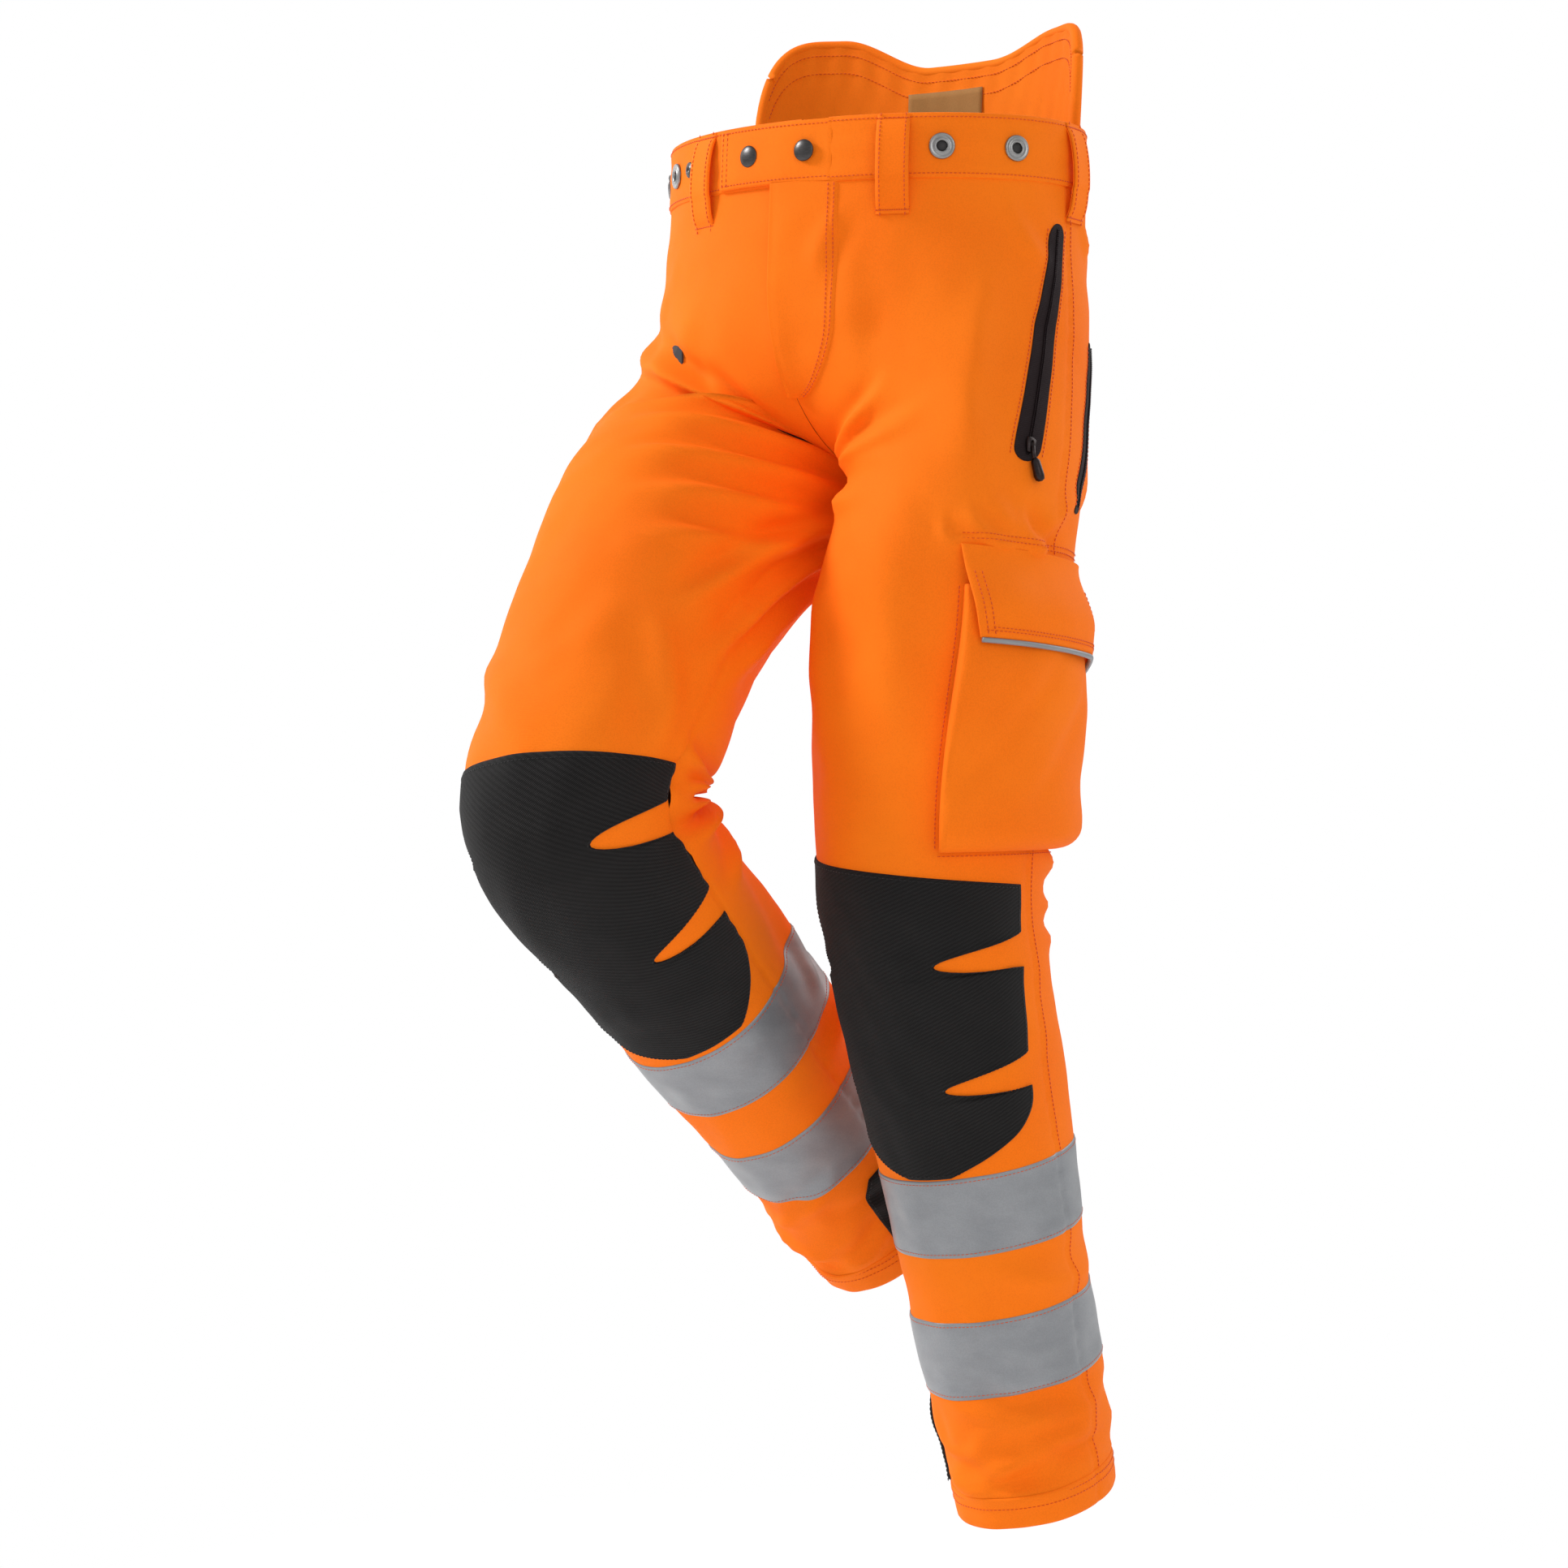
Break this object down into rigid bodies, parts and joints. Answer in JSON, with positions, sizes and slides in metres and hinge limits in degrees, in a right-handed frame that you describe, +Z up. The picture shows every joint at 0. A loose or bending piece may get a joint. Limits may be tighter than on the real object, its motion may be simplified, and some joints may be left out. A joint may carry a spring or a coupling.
{
  "type": "chainsaw protective trousers",
  "caption": "High visibility chainsaw protective trousers with raised kidney guard, knee patches, reflective leg bands, zips and a thigh cargo pocket, in a walking stance.",
  "frame": {"origin": "middle of the waist opening, level with the top of the waistband", "axes": "+Z up along the wearer, -Y the wearer's front, +X the wearer's left"},
  "size_m": [0.4269, 0.4951, 1.1961],
  "materials": {
    "shell_cloth": "fluorescent orange woven polyester, matt",
    "black_twill": "black abrasion resistant twill, matt",
    "reflective_tape": "grey retroreflective tape, satin",
    "lining_cloth": "dark mesh lining, matt",
    "pad_fibre": "loose layers of saw stopping fibre",
    "elastic": "ribbed elastic, matt",
    "foam": "closed cell foam, matt",
    "label_cloth": "tan woven label, matt",
    "zip_tape": "dark coated zip tape and coil, satin",
    "zip_metal": "dark lacquered zip slider",
    "stud_metal": "gunmetal press stud, satin",
    "ring_metal": "nickel plated ring, satin"
  },
  "bodies": {
    "waist": {"waistband": "shell_cloth", "waist_elastic": "elastic", "stud_sockets": "stud_metal", "belt_loops": "shell_cloth", "brace_rings": "ring_metal", "kidney_guard": "shell_cloth", "guard_foam": "foam", "guard_binding": "shell_cloth", "care_label": "label_cloth", "hip_shell_left": "shell_cloth", "hip_shell_right": "shell_cloth", "hip_lining_left": "lining_cloth", "hip_lining_right": "lining_cloth", "seat_pocket": "shell_cloth", "fly_placket": "shell_cloth", "fly_zip": "zip_tape", "pocket_zip_left": "zip_tape", "pocket_zip_right": "zip_tape", "pocket_bags": "lining_cloth", "vent_zips": "zip_tape", "hip_zone_left": "shell_cloth", "hip_zone_right": "shell_cloth"},
    "waist_tab": {"waist_tab": "shell_cloth", "tab_studs": "stud_metal"},
    "fly_slider": {"fly_slider": "stud_metal"},
    "left_pocket_slider": {"pocket_slider_left": "zip_metal"},
    "right_pocket_slider": {"pocket_slider_right": "zip_metal"},
    "left_thigh": {"thigh_shell_left": "shell_cloth", "thigh_pad_left": "pad_fibre", "thigh_lining_left": "lining_cloth", "cargo_pocket": "shell_cloth"},
    "left_shin": {"knee_zone_left": "shell_cloth", "knee_pad_left": "pad_fibre", "knee_patch_left": "black_twill", "shin_shell_left": "shell_cloth", "shin_pad_left": "pad_fibre", "shin_lining_left": "lining_cloth", "bands_left": "reflective_tape", "ankle_guard_left": "black_twill", "hem_left": "shell_cloth"},
    "right_thigh": {"thigh_shell_right": "shell_cloth", "thigh_pad_right": "pad_fibre", "thigh_lining_right": "lining_cloth"},
    "right_shin": {"knee_zone_right": "shell_cloth", "knee_pad_right": "pad_fibre", "knee_patch_right": "black_twill", "shin_shell_right": "shell_cloth", "shin_pad_right": "pad_fibre", "shin_lining_right": "lining_cloth", "bands_right": "reflective_tape", "ankle_guard_right": "black_twill", "hem_right": "shell_cloth"},
    "cargo_flap": {"cargo_flap": "shell_cloth", "flap_piping": "reflective_tape"}
  },
  "joints": [
    {"name": "left_hip", "type": "hinge", "parent": "waist", "child": "left_thigh", "pos_m": [0.103, -0.0485, -0.2399], "axis": [-1, 0, 0], "range_deg": [-10, 40], "deforming": ["hip_zone_left"]},
    {"name": "right_hip", "type": "hinge", "parent": "waist", "child": "right_thigh", "pos_m": [-0.1019, -0.0686, -0.2345], "axis": [-1, 0, 0], "range_deg": [-30, 25], "deforming": ["hip_zone_right"]},
    {"name": "left_knee", "type": "hinge", "parent": "left_thigh", "child": "left_shin", "pos_m": [0.1042, -0.0754, -0.6066], "axis": [1, 0, 0], "range_deg": [-15, 45], "deforming": ["knee_zone_left", "knee_pad_left", "knee_patch_left"]},
    {"name": "right_knee", "type": "hinge", "parent": "right_thigh", "child": "right_shin", "pos_m": [-0.0903, -0.2578, -0.5423], "axis": [1, 0, 0], "range_deg": [-60, 7], "deforming": ["knee_zone_right", "knee_pad_right", "knee_patch_right"]},
    {"name": "waist_tab", "type": "hinge", "parent": "waist", "child": "waist_tab", "pos_m": [0.04185, -0.1299, -0.025], "axis": [0, 0, 1], "range_deg": [0, 80]},
    {"name": "cargo_flap", "type": "hinge", "parent": "left_thigh", "child": "cargo_flap", "pos_m": [0.1904, -0.0635, -0.3369], "axis": [-0.0635, -0.9942, 0.0873], "range_deg": [0, 60]},
    {"name": "fly_slider", "type": "slide", "parent": "waist", "child": "fly_slider", "axis": [0, -0.054, -0.9985], "range_m": [0, 0.06]},
    {"name": "left_pocket_slider", "type": "slide", "parent": "waist", "child": "left_pocket_slider", "axis": [-0.0677, 0.3341, 0.9401], "range_m": [0, 0.17]},
    {"name": "right_pocket_slider", "type": "slide", "parent": "waist", "child": "right_pocket_slider", "axis": [0.0638, 0.4793, 0.8753], "range_m": [0, 0.16]}
  ]
}
